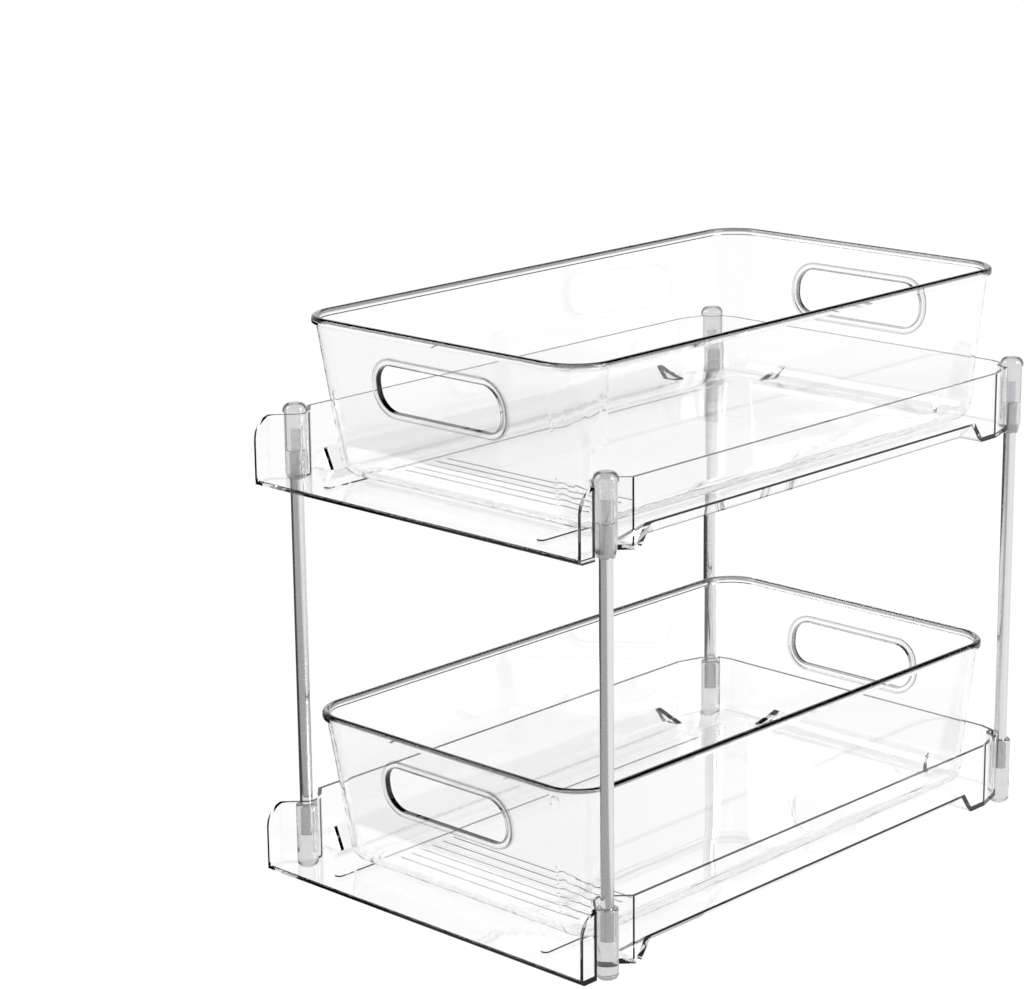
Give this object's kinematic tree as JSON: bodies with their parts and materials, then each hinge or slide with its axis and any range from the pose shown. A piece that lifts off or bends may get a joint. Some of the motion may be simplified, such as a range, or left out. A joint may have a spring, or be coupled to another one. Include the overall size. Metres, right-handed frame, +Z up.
{
  "type": "under sink organizer",
  "caption": "Two-tier organizer with clear pull-out bins that slide on trays held by metal corner posts, for storage under a sink.",
  "frame": {"origin": "on the ground, in the middle of the whole organizer seen from above", "axes": "+X across the width to the right of someone who faces the open front, +Y along the depth to the back, +Z up; the bins pull out towards -Y"},
  "size_m": [0.1982, 0.3138, 0.2652],
  "materials": {
    "clear_plastic": "clear, polished",
    "connector_plastic": "translucent light grey",
    "post_steel": "satin"
  },
  "bodies": {
    "stand": {"lower_tray": "clear_plastic", "upper_tray": "clear_plastic", "foot_front_left": "connector_plastic", "foot_front_right": "connector_plastic", "foot_rear_left": "connector_plastic", "foot_rear_right": "connector_plastic", "cap_front_left": "connector_plastic", "cap_front_right": "connector_plastic", "cap_rear_left": "connector_plastic", "cap_rear_right": "connector_plastic", "post_front_left": "post_steel", "post_front_right": "post_steel", "post_rear_left": "post_steel", "post_rear_right": "post_steel"},
    "lower_bin": {"lower_bin": "clear_plastic"},
    "upper_bin": {"upper_bin": "clear_plastic"}
  },
  "joints": [
    {"name": "lower_bin_slide", "type": "slide", "parent": "stand", "child": "lower_bin", "axis": [0, -1, 0], "range_m": [0, 0.25]},
    {"name": "upper_bin_slide", "type": "slide", "parent": "stand", "child": "upper_bin", "axis": [0, -1, 0], "range_m": [0, 0.25]}
  ]
}
